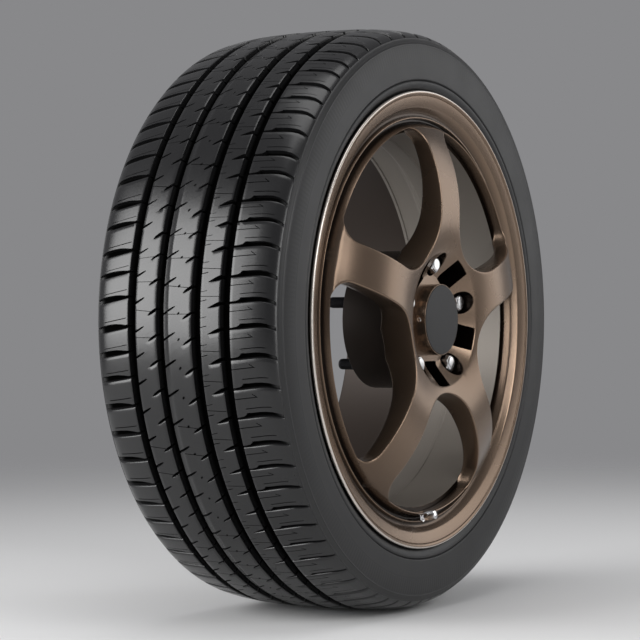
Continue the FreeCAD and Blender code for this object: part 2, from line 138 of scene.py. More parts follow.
def uneven(tree, low, high, grain, cloud, depth, share, detail):
    """A place, a roughness that clouds move from low to high, and a bump from fine grains."""
    spot = node(tree, "TexCoord").outputs["Object"]
    grains = node(tree, "TexNoise", {"Vector": spot, "Scale": 1 / mm(grain), "Detail": 2.0})
    clouds = node(tree, "TexNoise", {"Vector": spot, "Scale": 1 / mm(cloud), "Detail": detail})
    rough = node(tree, "MapRange", {"Value": clouds.outputs["Fac"], "To Min": low, "To Max": high})
    bump = node(tree, "Bump", {"Height": grains.outputs["Fac"], "Strength": share, "Distance": mm(depth)})
    return spot, rough, bump


def coated(name, colour, roughness, metallic, shade_colour=None):
    """A coated or bare surface: uneven gloss, fine grain, and a darker painted shade in its recesses."""
    made, tree = new_material(name)
    _, rough, bump = uneven(tree, roughness - glossier, roughness + duller, **metal_look)
    tint = linear(colour)
    if shade_colour:
        shade = node(tree, "Attribute", attribute_name="shade").outputs["Fac"]
        tint = node(tree, "MixRGB", {"Fac": shade, "Color1": tint, "Color2": linear(shade_colour)})
    shader = node(tree, "BsdfPrincipled", {
        "Base Color": tint, "Metallic": metallic, "Roughness": rough, "Normal": bump,
    })
    node(tree, "OutputMaterial", {"Surface": shader})
    return made


# powder coat with metal flakes: a broad warm sheen and soft edges to every highlight
# its second colour is the painted shade of the wheel's recesses
bronze = coated("satin_bronze_powder_coat", "#806d5d", 0.26, 0.85, shade_colour="#120c09")
# thin overspray on the cast barrel: greyer and duller than the face
barrel_coat = coated("dull_sprayed_barrel", "#756f68", 0.45, 0.4)
# the flange's edge is turned bright: a thin white line of light
edge_coat = coated("bright_turned_aluminium", "#d8d0c8", 0.25, 0.9)
# under the tyre, at the barrel's far end and behind the hub: a brown, dark, dull coat as painted shade
painted_shade_coat = coated("dark_painted_shade_coat", "#2a211b", 0.5, 0.5)
# zinc-plated forged steel: pale, with small sharp highlights
steel = coated("zinc_plated_steel", "#dededf", 0.22, 1.0)
# nickel-plated turned brass: almost a mirror
nickel = coated("nickel_plated_brass", "#e6e6e8", 0.12, 1.0)
# phosphated threads: nearly black, with a dull metal sheen
black = coated("dark_phosphate_steel", "#26262a", 0.45, 0.7)
# moulded plastic disc with a fine matt grain: an even dark grey
grey = coated("matt_grey_plastic", "#1e1e1f", 0.55, 0.0)
# bare turned brass of the valve's inside: yellow and smooth
brass = coated("bare_turned_brass", "#c9a25a", 0.25, 1.0)
print("materials so far:", len(bpy.data.materials))

# %% [markdown]
# ## Rubber
# Both rubbers come out of one steel mould. The tread's blocks are smooth and a little glossy when new,
# while the sidewall's mould is blasted, so the wall is duller. Their fine grain is a small bump. The rest
# of both materials is added further down, once the surfaces that they need are there.

# %% Rubber
rubber_look = {
    "grain": 1.1,  # mm; the true grain is finer and would not show
    "cloud": 45.0,  # mm
    "depth": 0.2,  # mm
    "share": 0.1,  # the bump's strength
    "detail": 4.0,
}
rubber_colour = linear("#161617")
tread_rubber, tread_tree = new_material("new_moulded_tread_rubber")
side_rubber, side_tree = new_material("matt_moulded_sidewall_rubber")
_, tread_rough, tread_bump = uneven(tread_tree, low=0.22, high=0.30, **rubber_look)
side_spot, side_rough, side_bump = uneven(side_tree, low=0.40, high=0.52, **rubber_look)
print("rubber grain", rubber_look["grain"], "mm, clouds", rubber_look["cloud"], "mm")

# %% [markdown]
# ## Coats on the CAD parts
# Three CAD parts inside the valve stay as they are, and the others wait to be replaced. All get a
# material, so that none is left bare.

# %% Coats on the CAD parts
coats = {
    "tyre": side_rubber, "wheel": bronze, "lug_bolts": steel, "centre_cap": bronze, "cap_disc": grey,
    "cap_screw": steel, "valve_stem": nickel, "valve_grommet": side_rubber, "valve_nut": nickel,
    "valve_core": brass, "valve_pin": brass, "valve_cap": nickel,
}
for name, coat in coats.items():
    thing = frame["nodes"][name]
    thing.data.materials.clear()
    thing.data.materials.append(coat)
print("coated", len(coats), "CAD parts")

# %% [markdown]
# ## From grids to pieces
# Every piece below is one or more grids of points. A grid that closes on itself makes a ring or a tube.
# This is lighter than boolean cuts and leaves clean rows of four-sided faces, which shade smoothly. One
# function joins a piece's grids, welds the points they share, turns all faces outward and counts the open
# edges.

# %% From grids to pieces
weld = 1e-6  # metres


def grid(points, shade=0.0, close_rows=True, close_columns=True, coats=0):
    """A grid's points in mm, its cells' corners, each cell's coat by its row, and the points' shade."""
    rows, columns = points.shape[:2]
    i = np.arange(rows if close_rows else rows - 1)[:, None]
    j = np.arange(columns if close_columns else columns - 1)[None, :]
    below, beside = (i + 1) % rows, (j + 1) % columns
    cells = [i * columns + j, i * columns + beside, below * columns + beside, below * columns + j]
    faces = np.stack(np.broadcast_arrays(*cells), axis=-1)
    coat = np.broadcast_to(np.reshape(coats, (-1, 1)), faces.shape[:2])
    shade = np.broadcast_to(shade, (rows, columns))
    return points.reshape(-1, 3), faces.reshape(-1, 4), coat.ravel(), shade.ravel()


def mesh_of(name, grids, corners):
    """One mesh from several grids, with their shade at its points and the tread map at its corners."""
    points, faces, coat, shade = zip(*grids)
    starts = np.cumsum([0] + [len(part) for part in points])
    points = np.concatenate(points)
    faces = np.concatenate([part + start for part, start in zip(faces, starts)])
    mesh = bpy.data.meshes.new(name)
    mesh.vertices.add(len(points))
    mesh.vertices.foreach_set("co", mm(points).ravel())
    mesh.loops.add(faces.size)
    mesh.loops.foreach_set("vertex_index", faces.ravel())
    mesh.polygons.add(len(faces))
    mesh.polygons.foreach_set("loop_start", np.arange(0, faces.size, 4))
    mesh.polygons.foreach_set("material_index", np.concatenate(coat))
    mesh.update(calc_edges=True)
    mesh.attributes.new("shade", "FLOAT", "POINT").data.foreach_set("value", np.concatenate(shade))
    if corners is not None:
        mesh.uv_layers.new(name="tread_map").data.foreach_set("uv", corners.ravel())
    return mesh


def put(name, data):
    """An object made from its data and put into the scene."""
    made = bpy.data.objects.new(name, data)
    bpy.context.scene.collection.objects.link(made)
    return made


def piece(name, part, grids, coats, body="wheel", sharp=30.0, corners=None):
    """One object from its grids and coats, which rides on a body and takes a CAD part's place."""
    mesh = mesh_of(name, grids, corners)
    for coat in coats:
        mesh.materials.append(coat)
    work = bmesh.new()
    work.from_mesh(mesh)
    bmesh.ops.remove_doubles(work, verts=work.verts, dist=weld)
    bmesh.ops.recalc_face_normals(work, faces=work.faces)
    open_edges = sum(len(edge.link_faces) != 2 for edge in work.edges)
    work.to_mesh(mesh)
    work.free()
    mesh.shade_smooth()
    mesh.set_sharp_from_angle(angle=math.radians(sharp))
    made = put(name, mesh)
    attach(made, body)
    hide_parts(part)
    triangles = len(mesh.loops) - 2 * len(mesh.polygons)
    print(name, len(mesh.vertices), "points,", triangles, "triangles,", open_edges, "open edges")


small_grid = grid(np.zeros((3, 4, 3)))
print("a grid of 3 by 4 points, closed both ways, has", len(small_grid[1]), "cells")

# %% [markdown]
# ## The tyre's section
# Cut a tyre across and its outside is one flowing line: almost flat over the tread, round at the shoulder,
# and bowed down the sidewall to the rim. A short list of places on that line, half a width from the middle
# and a drop from the crown, is joined by a smooth curve. A spline object could be swept instead, but the
# curve as numbers also tells which way is straight into the rubber, and the grooves need that.

# %% The tyre's section
crown = 1000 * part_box("tyre")[1].z
tyre_low, tyre_high = (1000 * corner.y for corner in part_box("tyre"))
middle = (tyre_low + tyre_high) / 2
half_width = (tyre_high - tyre_low) / 2
section = np.array([
    (-20, 0.1), (0, 0), (20, 0.1), (40, 0.55), (58, 1.5), (74, 3.1), (85, 4.7), (92, 6.0), (97, 7.4),
    (101.5, 9.3), (105, 11.8), (107.7, 15.0), (109.6, 19), (110.9, 24.5), (111.8, 31.5), (112.25, 38.5),
    (112.3, 45.5), (112.2, 52.5), (111.9, 58.5), (110.9, 64.5), (109.0, 68.6), (106, 71.6),
])
section[:, 1] = crown - section[:, 1]


def smooth_line(corners, steps=40):
    """A curve through all corners: cubics whose slope at one is half the step between its neighbours."""
    p0, p1, p2, p3 = (p[:, None, :] for p in (corners[:-3], corners[1:-2], corners[2:-1], corners[3:]))
    t = np.linspace(0, 1, steps, endpoint=False)[None, :, None]
    bend = (2 * p0 - 5 * p1 + 4 * p2 - p3) * t**2
    twist = (3 * p1 - p0 - 3 * p2 + p3) * t**3
    curve = 0.5 * (2 * p1 + (p2 - p0) * t + bend + twist)
    return np.vstack([curve.reshape(-1, corners.shape[1]), corners[-2]])


skin = smooth_line(section)
skin = skin[skin[:, 0] >= 0]
skin_slope = np.gradient(skin, axis=0)
skin_slope /= np.linalg.norm(skin_slope, axis=1)[:, None]
along_skin = np.concatenate([[0], np.cumsum(np.linalg.norm(np.diff(skin, axis=0), axis=1))])
print("crown radius", crown, "mm, half the width", skin[:, 0].max(), "mm,", len(skin), "points")

# %% [markdown]
# ## Rows of the tread
# Four grooves run all round and let water out, and between them stand five ribs with slanted slots. The
# tread is one long grid: its rows run round the tyre, its columns cross it. A groove needs six rows, for
# the edges, slopes and floor. The ribs' rows carry the widths and depths of three kinds of cut: a wide
# slot, a thin cut and a notch. Cutting the slots with booleans would leave ragged faces; here each cut is
# only a lower column.

# %% Rows of the tread
# each groove: its start, the foot of its first slope and the depth there, both floor corners, its end
grooves = [
    (-59.6, -59.2, 0.8, -58.5, -50.0, -48.7), (-26.0, -25.0, 1.6, -24.2, -16.6, -15.2),
    (12.6, 18.4, 1.7, 19.6, 25.4, 26.7), (52.6, 53.0, 0.8, 53.7, 61.0, 62.2),
]
# each row: place across, then width and depth of the wide slot, of the thin cut and of the notch
# a row that stops early goes on as no_cuts does
no_cuts = (.4, 0, .7, 0, .5, 0)
ribs = [
    [
        (-107.7, 2.6), (-106.6, 2.8, 0.9), (-105.0, 3.2, 2.0), (-102.0, 3.7, 3.6), (-97.6, 4.1, 4.8),
        (-97.0, 4.1, 4.9, .7, 1.6), (-91.0, 4.4, 5.6, .8, 2.6), (-84.6, 4.6, 6.0, .8, 2.8, .6),
        (-84.0, 4.6, 6.0, .8, 2.8, .7, 2), (-77.0, 4.6, 6.2, .8, 2.8, .8, 2.4),
        (-72.4, 4.9, 6.2, .8, 2.8, .8, 2.4), (-71.0, 4.9, 6.2, .7, 1.6, .8, 2.4),
        (-70.2, 3.6, 6.0, .7, 0, .8, 2.4), (-67.6, 2.2, 5.0, .7, 0, .8, 2.4),
        (-63.0, 1.8, 4.6, .7, 0, .8, 2.4),
    ],
    [
        (-46.5, 3.6, 5.6), (-42.0, 2.6, 5.0), (-37.0, 1.2, 4.0), (-34.4,), (-33.4,),
        (-32.8, .4, 0, .8, 2.0, .6, 1.6), (-29.0, .4, 0, .8, 2.2, .6, 2.0),
    ],
    [
        (-11.5, 2.5, 4.6), (-6.8, 1.8, 3.8), (-5.0, .5), (-1.7, .4, 0, .8), (-1.1, .4, 0, 2.4, 2.4),
        (0.5, .4, 0, 2.4, 2.4), (1.1, .4, 0, .8), (3.6,), (5.4, .4, 0, .7, 0, 1.8, 3.8),
        (9.4, .4, 0, .7, 0, 2.5, 4.6),
    ],
    [
        (31.0, 2.5, 4.6), (35.2, 1.8, 3.8), (37.0, .5), (41.6,), (43.4, .4, 0, .7, 0, 1.8, 3.8),
        (48.5, .4, 0, .7, 0, 2.5, 4.6),
    ],
    [
        (64.6, 2.6, 5.8), (65.2, 2.6, 5.8, .8, 2.2), (71.0, 4.0, 6.4, .8, 2.8), (79.0, 5.4, 6.6, .8, 2.8),
        (87.0, 5.9, 6.2, .8, 2.7), (92.0, 5.9, 5.8, .8, 2.4), (95.4, 5.8, 5.4, .7, 1.6), (96.0, 5.8, 5.3),
        (99.0, 5.6, 4.7), (102.5, 5.2, 3.6), (105.0, 4.8, 2.4), (106.8, 4.5, 1.0), (107.7, 4.5),
    ],
]
ribs = [[row + no_cuts[len(row) - 1:] for row in rib] for rib in ribs]
groove_depth, lip, lip_drop = 7.5, 0.5, 0.3
rows = []
for k, rib in enumerate(ribs):
    rows += [row + (0.0,) for row in rib]
    if k < len(grooves):
        start, foot, foot_depth, floor_start, floor_stop, stop = grooves[k]
        near, far = rib[-1][1:], ribs[k + 1][0][1:]
        rows += [(start - lip, *near, 0.0), (start, *near, lip_drop), (foot, *near, foot_depth)]
        rows += [(floor_start, *near, groove_depth), (floor_stop, *far, groove_depth)]
        rows += [(stop, *far, lip_drop), (stop + lip, *far, 0.0)]
across, a_width, a_depth, b_width, b_depth, c_width, c_depth, groove = np.array(rows).T
print(len(across), "rows across the tread, in order:", bool(np.all(np.diff(across) > 0)))

# %% [markdown]
# ## Columns of the tread
# One pitch is one repeat of the pattern: fifteen columns, with the slot's edges and floor, the thin cut,
# the notch and the block's top between them. Makers mix a few pitch lengths so that the tread does not
# hum, and the same is done here with three lengths in a drawn order. Slots also slant, so each row is
# shifted by a sum of slopes. An array modifier could repeat one pitch, but every copy would be alike.

# %% Columns of the tread
pitches = 76
pitch = 2 * np.pi * crown / pitches
cut_at, notch_at = 8.6, 18.0  # mm above the slot's lower edge
top_low, top_middle, top_high = 6.8, 13.0, 22.0  # the block's top below, between and above those two
wall_run, edge_run, edge_drop = 0.5, 1.4, 1.6  # mm, and less where a slot is narrow or shallow
zero = np.zeros_like(across)
wall = np.minimum(wall_run, 0.3 * a_width)
round_out = np.minimum(edge_run, 0.45 * a_width)
round_deep = np.minimum(edge_drop, 0.3 * a_depth)
place = np.stack([
    -round_out, -0.5 * round_out, zero, wall, a_width - wall, a_width, zero + top_low,
    cut_at - b_width / 2, zero + cut_at, cut_at + b_width / 2, zero + top_middle,
    notch_at - c_width / 2, zero + notch_at, notch_at + c_width / 2, zero + top_high,
], axis=1)
depth = np.stack([
    zero, 0.25 * round_deep, round_deep, a_depth, a_depth, zero, zero,
    zero, b_depth, zero, zero, zero, c_depth, zero, zero,
], axis=1)
depth = np.maximum(depth, groove[:, None])
# the rounded edge stays as glossy as the block's top, so only the groove's painted shade darkens it
dark_depth = np.hstack([np.broadcast_to(groove[:, None], (len(across), 3)), depth[:, 3:]])
# the slant at places across: the rise for each millimetre towards the outer side
slant_at = [-108, -100, -92, -84, -60, -48, -26, -15, 13, 26, 53, 62, 108]
slant = [-0.55, -0.30, -0.02, 0.08, 0.11, 0.21, 0.21, 0.53, 0.53, 0.53, 0.53, 0.18, 0.16]
fine = np.linspace(slant_at[0], slant_at[-1], 2161)
rise = -np.cumsum(np.interp(fine, slant_at, slant)) * (fine[1] - fine[0])
lean = np.interp(across, fine, rise)
pitch_kinds = [0.85, 1.0, 1.17]
rng = np.random.default_rng(7)
lengths = rng.choice(pitch_kinds, pitches)
lengths *= pitches / lengths.sum()
starts = np.concatenate([[0], np.cumsum(lengths)[:-1]]) * pitch
upward = starts[None, :, None] + place[:, None, :] * lengths[None, :, None] + lean[:, None, None]
depth, dark_depth = (
    np.broadcast_to(d[:, None, :], upward.shape).reshape(len(across), -1) for d in (depth, dark_depth)
)
print("one pitch is", pitch, "mm, and the grid has", depth.size, "points")

# %% [markdown]
# ## The tread as a surface
# Each row lies on the section's skin, and each point sinks by its depth straight into the rubber. Two more
# rows close the tread underneath, where the sidewalls and the wheel hide it. The map beside it counts in
# pitches both ways, along the ground and across, so that hair-thin cuts can be drawn on it as straight
# lines.

# %% The tread as a surface
under_y, under_r, off_map = 99.0, 302.0, 200.0  # mm; the hidden rows lie far off the drawn cuts on the map
# the depths where the painted shade of a cut begins and where it is full
shade_from, shade_full = 0.6, 4.6  # mm deep


def ramp(value, start, stop):
    """0 at the start, 1 at the stop, a straight line between them and level outside."""
    return np.clip((value - start) / (stop - start), 0, 1)


def turned(y, r, angles):
    """Points at places y along the axle and radii r from it: x is r cosine, z is r sine of the angle."""
    return np.stack(np.broadcast_arrays(r * np.cos(angles), y, r * np.sin(angles)), axis=-1)


def on_skin(at):
    """Half width and radius at places along the skin, and its outward way, which is its slope turned."""
    y, r, slope_y, slope_r = (np.interp(at, along_skin, known) for known in (*skin.T, *skin_slope.T))
    return y, r, -slope_r, slope_y


row_at = np.interp(np.abs(across), skin[:, 0], along_skin)
skin_y, skin_r, out_y, out_r = (known[:, None] for known in on_skin(row_at))
y = middle + np.sign(across)[:, None] * (skin_y - out_y * depth)
r = skin_r - out_r * depth
y = np.vstack([y, np.full_like(y[:1], middle + under_y), np.full_like(y[:1], middle - under_y)])
r = np.vstack([r, np.full_like(r[:2], under_r)])
angle = -upward.reshape(len(across), -1) / crown
angle = np.vstack([angle, angle[-1:], angle[:1]])
cut_shade = ramp(dark_depth, shade_from, shade_full)
cut_shade = np.vstack([cut_shade, np.ones((2, depth.shape[1]))])
map_x = np.arange(pitches)[None, :, None] + (place[:, None, :] + lean[:, None, None]) / pitch
map_x = map_x.reshape(len(across), -1)
map_x = np.vstack([map_x, map_x[-1:], map_x[:1]])
map_x = np.hstack([map_x, map_x[:, :1] + pitches])
map_y = np.append(across, [off_map, off_map])[:, None] / pitch
tread_map = np.stack([map_x, np.broadcast_to(map_y, map_x.shape)], axis=-1)
after = np.roll(tread_map, -1, axis=0)
corners = np.stack([tread_map[:, :-1], tread_map[:, 1:], after[:, 1:], after[:, :-1]], axis=2)
tread_grid = grid(turned(y, r, angle), cut_shade)
piece("tyre_tread", "tyre", [tread_grid], [tread_rubber], sharp=40, corners=corners)

# %% [markdown]
# ## Thin cuts and the tread's rubber
# Sipes are cuts as thin as a blade, which help the tread to grip. As geometry they would need a far finer
# grid, so they are drawn as lines of painted shade: each is a straight line on the tread map, repeated
# every pitch, and left out of some pitches at random. In the cuts and grooves the colour is painted near
# black as shade, since little light comes out again, and the roughness makes the rubber dull.

# %% Thin cuts and the tread's rubber
map_parts = node(tread_tree, "SeparateXYZ", {
    "Vector": node(tread_tree, "UVMap", uv_map="tread_map"),
})
map_along, map_across = map_parts.outputs["X"], map_parts.outputs["Y"]


def thin_line(start, stop, width, share):
    """A straight cut, one in each pitch: it is where the map lies within half its width of the line."""
    (x0, y0), (x1, y1) = start, stop
    slope = (x1 - x0) / (y1 - y0)
    line_at = node(tread_tree, "Math", {
        0: map_across, 1: slope, 2: x0 - slope * y0,
    }, operation="MULTIPLY_ADD")
    phase = node(tread_tree, "Math", {0: map_along, 1: line_at}, operation="SUBTRACT")
    gap = node(tread_tree, "Math", {0: phase, 1: 0.5}, operation="PINGPONG")
    near = node(tread_tree, "Math", {0: gap, 1: width / 2}, operation="LESS_THAN")
    inside = node(tread_tree, "Math", {
        0: map_across, 1: (y0 + y1) / 2, 2: abs(y1 - y0) / 2,
    }, operation="COMPARE")
    number = node(tread_tree, "Math", {0: phase}, operation="ROUND")
    pick = node(tread_tree, "TexWhiteNoise", {"W": number}, noise_dimensions="1D")
    chosen = node(tread_tree, "Math", {0: pick, 1: share}, operation="LESS_THAN")
    both = node(tread_tree, "Math", {0: near, 1: inside}, operation="MULTIPLY")
    return node(tread_tree, "Math", {0: both, 1: chosen}, operation="MULTIPLY")


def on_map(across_mm, above_mm):
    """A place on the tread map: so many millimetres across, and so many above the wide slot there."""
    return (np.interp(across_mm, fine, rise) + above_mm) / pitch, across_mm / pitch


def level(across_mm, above_mm, stop_mm):
    """Both ends of a cut straight across, from one place to another."""
    x, y = on_map(across_mm, above_mm)
    return (x, y), (x, stop_mm / pitch)


hook_width, sipe_width = 0.8 / pitch, 0.58 / pitch
# the near-black colour is the painted shade of cuts and grooves
cut_shade_colour, shine, shine_lost = linear("#030303"), 0.5, 0.48
lines = [
    (on_map(-84.0, 18.0), on_map(-79.0, 21.2), hook_width, 1.0),
    level(-26.5, 13.5, -48.2) + (sipe_width, 0.6),
    level(12.2, 14.5, -14.8) + (sipe_width, 0.5),
    level(52.2, 12.0, 27.2) + (sipe_width, 0.5),
]
# painted shade: deeper cuts and the drawn thin cuts darken the colour and dull the rubber
cut_shade_and_dullness = node(tread_tree, "Attribute", attribute_name="shade").outputs["Fac"]
for start, stop, width, chance in lines:
    drawn = thin_line(start, stop, width, chance)
    cut_shade_and_dullness = node(tread_tree, "Math", {0: drawn, 1: cut_shade_and_dullness}, operation="MAXIMUM")
tread_colour = node(tread_tree, "MixRGB", {
    "Fac": cut_shade_and_dullness, "Color1": rubber_colour, "Color2": cut_shade_colour,
})
rough_or_dull = node(tread_tree, "Math", {0: tread_rough, 1: cut_shade_and_dullness}, operation="MAXIMUM")
# the shine is for the render; exported, the colour's painted shade and the roughness carry the dull cuts
shine_left = node(tread_tree, "Math", {0: cut_shade_and_dullness, 1: -shine_lost, 2: shine}, operation="MULTIPLY_ADD")
tread_shader = node(tread_tree, "BsdfPrincipled", {
    "Base Color": tread_colour, "Normal": tread_bump, "Roughness": rough_or_dull,
    "Specular IOR Level": shine_left,
})
node(tread_tree, "OutputMaterial", {"Surface": tread_shader})
print(len(lines), "kinds of thin cut,", sipe_width * pitch, "mm wide")

# %% [markdown]
# ## Sidewalls
# Below the tread the mould leaves fine raised rings, a deeper line where the rim's edge comes, and a bead
# that sits on the wheel. All of it is the same all round, so one profile is turned about the axle. A ring
# is a small hump added square to the skin. Both walls come from one profile, mirrored over the tyre's
# middle.

# %% Sidewalls
wall_r = np.array([
    305.0, 304.75, 304.4, 304.05, 303.6, 302.0, 300.5, 299.0, 298.75, 298.5, 298.25, 297.9, 297.0, 293.0,
    289.0, 285.0, 281.0, 279.3, 279.05, 278.8, 278.55, 278.2, 275.0, 271.0, 267.0, 263.5, 261.2, 260.5,
    259.9, 259.2, 258.5, 257.9, 256.5, 254.5, 252.0, 250.2,
])
bead = np.array([
    (107.0, 247.7), (104.2, 244.3), (101.3, 241.5), (101.3, 231.4), (87.7, 231.4), (98.3, 252.0),
    (98.3, 301.0),
])
tuck_y, tuck_r = 104.5, 303.5  # the wall starts a little under the tread


def ridge(middle_r, half, height):
    """A raised ring: its height falls as one minus the square of the distance, down to nothing at half."""
    return height * np.clip(1 - ((wall_r - middle_r) / half) ** 2, 0, None)


lift = ridge(304.4, 0.5, 0.55) + ridge(298.5, 0.4, 0.35) + ridge(278.8, 0.4, 0.4)
lift += ridge(255.0, 4.0, 0.2) - ridge(259.2, 0.9, 1.6)
skin_y, skin_r, out_y, out_r = on_skin(np.interp(-wall_r, -skin[:, 1], along_skin))
side_y = np.minimum(skin_y + out_y * lift, half_width)
side_y = np.concatenate([[tuck_y], side_y, bead[:, 0]])[:, None]
side_r = np.concatenate([[tuck_r], skin_r + out_r * lift, bead[:, 1]])[:, None]
turn = np.linspace(0, 2 * np.pi, 360, endpoint=False)[None, :]
walls = [grid(turned(middle + side * side_y, side_r, turn)) for side in (-1, 1)]
piece("tyre_sidewalls", "tyre", walls, [side_rubber], sharp=50)

# %% [markdown]
# ## Fine ribs on the sidewall
# Many sidewalls carry a band of fine radial ribs, which hides small marks in the rubber. They are only a
# few tenths of a millimetre high, so a bump pattern draws them: a zigzag counted by the angle round the
# axle, and kept to a band by the distance from it.

# %% Fine ribs on the sidewall
band_middle, band_half = 289.0, 8.0  # mm from the axle
rib_step, rib_height, rib_share = 4.9, 0.4, 0.3  # mm, mm, and the bump's strength
rib_count = round(2 * math.pi * band_middle / rib_step)
parts = node(side_tree, "SeparateXYZ", {"Vector": side_spot})
flat = node(side_tree, "CombineXYZ", {"X": parts.outputs["X"], "Y": parts.outputs["Z"]})
radius = node(side_tree, "VectorMath", {0: flat}, operation="LENGTH").outputs["Value"]
round_axle = node(side_tree, "Math", {
    0: parts.outputs["Z"], 1: parts.outputs["X"],
}, operation="ARCTAN2")
counted = node(side_tree, "Math", {
    0: round_axle, 1: rib_count / (2 * math.pi),
}, operation="MULTIPLY")
zigzag = node(side_tree, "Math", {0: counted, 1: 0.5}, operation="PINGPONG")
band = node(side_tree, "Math", {
    0: radius, 1: mm(band_middle), 2: mm(band_half),
}, operation="COMPARE")
ribbed = node(side_tree, "Math", {0: zigzag, 1: band}, operation="MULTIPLY")
rib_bump = node(side_tree, "Bump", {
    "Height": ribbed, "Normal": side_bump, "Strength": rib_share, "Distance": mm(rib_height),
})
side_shader = node(side_tree, "BsdfPrincipled", {
    "Base Color": rubber_colour, "Roughness": side_rough, "Normal": rib_bump,
})
node(side_tree, "OutputMaterial", {"Surface": side_shader})
print(rib_count, "fine ribs round each sidewall")

# %% [markdown]
# ## Curves for the wheel
# The wheel is drawn from arcs and straight lines, as on its drawing. Three helpers make them: an arc, a
# line, and a line with rounded corners.

# %% Curves for the wheel
def arc(radius, start, stop, steps, centre=(0, 0)):
    """Points on a circle from one angle to another in degrees, without the last one."""
    turn = np.radians(np.linspace(start, stop, steps, endpoint=False))[:, None]
    return np.array(centre) + radius * np.hstack([np.cos(turn), np.sin(turn)])


def line(start, stop, steps):
    """Points on a straight line, without the last one."""
    t = np.linspace(0, 1, steps, endpoint=False)[:, None]
    return np.array(start) * (1 - t) + np.array(stop) * t


def rounded(corners, steps=4):
    """A line whose corners are cut back by their third number and joined by a curve that leans on them."""
    corners = np.array(corners, float)
    points = [corners[:1, :2]]
    t = np.linspace(0, 1, steps + 1)[:, None]
    for before, here, after in zip(corners[:-2], corners[1:-1], corners[2:]):
        at, cut = here[:2], here[2]
        back, forth = before[:2] - at, after[:2] - at
        start = at + back / np.linalg.norm(back) * cut
        stop = at + forth / np.linalg.norm(forth) * cut
        bend = (1 - t) ** 2 * start + 2 * t * (1 - t) * at + t**2 * stop
        points.append(bend if cut > 0 else at[None, :])
    return np.vstack(points + [corners[-1:, :2]])


print("a rounded corner has", len(rounded([(0, 0, 0), (5, 0, 1), (5, 5, 0)])), "points")

# %% [markdown]
# ## The wheel's front and back
# Seen from the side, the spokes bow inward from the hub's rim to the outer groove in one arc, and their
# backs are hollowed by another, as the casting needs. Both are functions of a place on the wheel, so any
# point of the spokes, hub or groove can be lifted onto them.

# %% The wheel's front and back
spokes = 5
share = 180 / spokes
half_spoke, corner_r = 21.5, 18.0
window_inner, window_outer = 80.0, 209.0
dish_r, groove_r, groove_y = 72.6, 215.75, -53.5
barrel_r, pad_r, back_y = 204.0, 75.0, -51.0
ring_r, ring_y = 36.8, -67.0
face_arc, face_low, face_high = 163.0, np.array([74.0, -86.0]), np.array([208.0, -66.8])
back_arc, back_middle, back_half, back_lift = 125.0, 139.0, 61.0, 1.6
back_side, back_fade = 56.0, 5.0
chord = face_high - face_low
off_chord = np.array([-chord[1], chord[0]]) / np.linalg.norm(chord)
arc_middle = (face_low + face_high) / 2 + off_chord * math.sqrt(face_arc**2 - chord @ chord / 4)
face_from, face_to, face_points = 78.0, 203.0, 26
face_r = np.linspace(face_from, face_to, face_points)
face_y = arc_middle[1] - np.sqrt(face_arc**2 - (face_r - arc_middle[0]) ** 2)
front_line = smooth_line(np.vstack([
    [(30, ring_y), (ring_r, ring_y), (44, ring_y), (48.5, ring_y), (50.3, -67.25), (52, -67.95),
     (56, -71.1), (64, -77.7), (70, -82.7), (dish_r, -84.84), (73.6, -85.55), (74.8, -86.1)],
    np.column_stack([face_r, face_y]),
    [(206.4, -67.9), (208.2, -66.7), (209.6, -65.2), (210.8, -62.8), (212.2, -59.0), (213.5, -55.8),
     (214.6, -54.1), (groove_r, groove_y), (217, groove_y), (220, groove_y)],
]), steps=12)


def front(points):
    """Where the front of the wheel lies along the axle, looked up by the distance from the axle."""
    return np.interp(np.linalg.norm(points, axis=-1), front_line[:, 0], front_line[:, 1])


def back(points):
    """Where a spoke's back lies: an arch along the spoke, flat beside it and faded out at the barrel."""
    reach, beside = points[..., 0], np.abs(points[..., 1])
    arch = np.sqrt(np.clip(back_arc**2 - (reach - back_middle) ** 2, 0, None))
    arch += back_lift - math.sqrt(back_arc**2 - back_half**2)
    arch *= ramp(np.linalg.norm(points, axis=-1), barrel_r, barrel_r - back_fade)
    return back_y - np.where(beside < back_side, np.clip(arch, 0, None), 0.0)


print("the face rises from", face_y[0], "to", face_y[-1], "mm along the axle")

# %% [markdown]
# ## Half a window's edge
# Five windows leave five spokes. Half a window, from its middle to the spoke, repeats ten times with
# mirrors, so only that half is drawn: a round end at the hub, a straight side, a round corner and the
# rim's arc. Beside each point is the way into the metal, along which the edge is rounded.

# %% Half a window's edge
half_turn = math.radians(share)
window_line = np.array([math.cos(half_turn), math.sin(half_turn)])
to_spoke = np.array([math.sin(half_turn), -math.cos(half_turn)])
end_at = (window_inner - half_spoke) / (1 - math.sin(half_turn))
end_r = end_at - window_inner
end_middle = end_at * window_line
corner_x = math.sqrt((window_outer - corner_r) ** 2 - (half_spoke + corner_r) ** 2)
corner_at = np.array([corner_x, half_spoke + corner_r])
corner_turn = math.degrees(math.atan2(corner_at[1], corner_at[0]))
bend_steps, side_steps, rim_steps = 22, 30, 20
hub_arc = arc(end_r, 180 + share, 270, bend_steps, end_middle)
straight = line((end_middle[0], half_spoke), (corner_x, half_spoke), side_steps)
corner = arc(corner_r, -90, corner_turn, bend_steps, corner_at)
outer_arc = arc(window_outer, corner_turn, share, rim_steps)
outer = np.vstack([outer_arc, window_outer * window_line])
edge = np.vstack([hub_arc, straight, corner, outer])
into_metal = np.vstack([
    (hub_arc - end_middle) / end_r, np.tile([0.0, -1.0], (side_steps, 1)),
    (corner - corner_at) / corner_r, outer / window_outer,
])
print("window from", window_inner, "to", window_outer, "mm, with", len(edge), "points on half its edge")

# %% [markdown]
# ## The spoke as a sheet
# A sheet of points runs from the middle of the spoke's front to the window's edge, round it, down the
# window's wall, and back over the spoke's back. Its rows are blends between the window's edge and the line
# opposite, so the faces flow along the spoke. A bevel modifier could round the edges, but here each round
# has its size.

